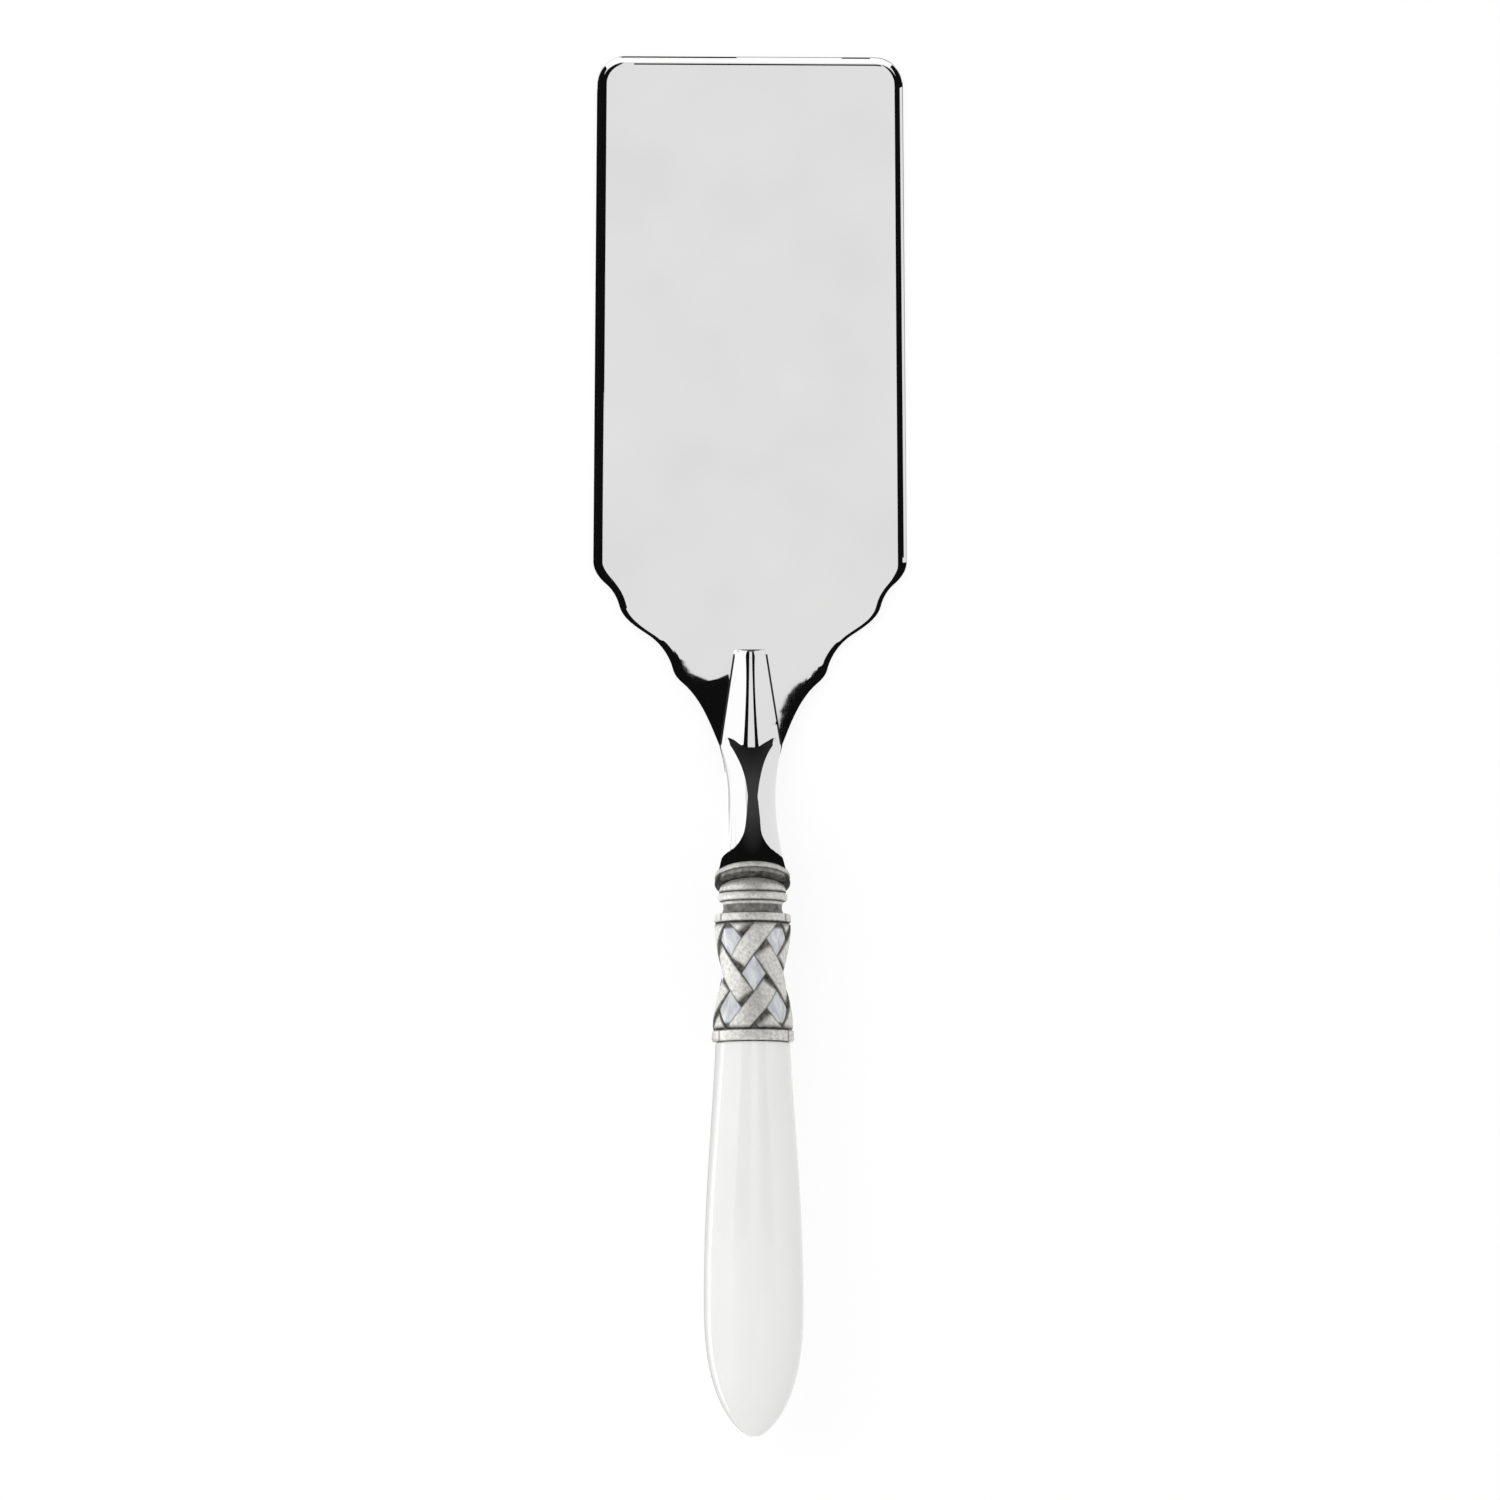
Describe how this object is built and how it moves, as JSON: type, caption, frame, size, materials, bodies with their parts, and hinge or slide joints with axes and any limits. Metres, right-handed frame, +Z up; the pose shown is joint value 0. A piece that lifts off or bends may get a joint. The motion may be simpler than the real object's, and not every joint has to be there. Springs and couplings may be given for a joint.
{
  "type": "lasagna server",
  "caption": "Flat serving spatula for lasagna: polished steel blade with scalloped shoulders, raised neck, woven silver ferrule and pearl acrylic handle.",
  "frame": {"origin": "middle of the object's box in plan, on the surface that the blade lies on", "axes": "+Y from the butt of the handle to the tip of the blade, +Z up, away from the surface, +X across the blade"},
  "size_m": [0.0712, 0.3106, 0.0327],
  "materials": {
    "polished_steel": "mirror polished stainless steel",
    "tang_steel": "plain turned steel rod, hidden inside the handle",
    "epoxy": "cured clear amber adhesive, hidden inside the handle",
    "antique_silver": "silver plated casting with dark patina in the recesses",
    "pearl_acrylic": "glossy white pearl acrylic"
  },
  "bodies": {
    "root": {"blade": "polished_steel", "neck": "polished_steel", "tang": "tang_steel", "tang_adhesive": "epoxy", "ferrule_cap": "antique_silver", "upper_collar": "antique_silver", "weave_sleeve": "antique_silver", "lower_collar": "antique_silver", "handle": "pearl_acrylic"}
  },
  "joints": []
}
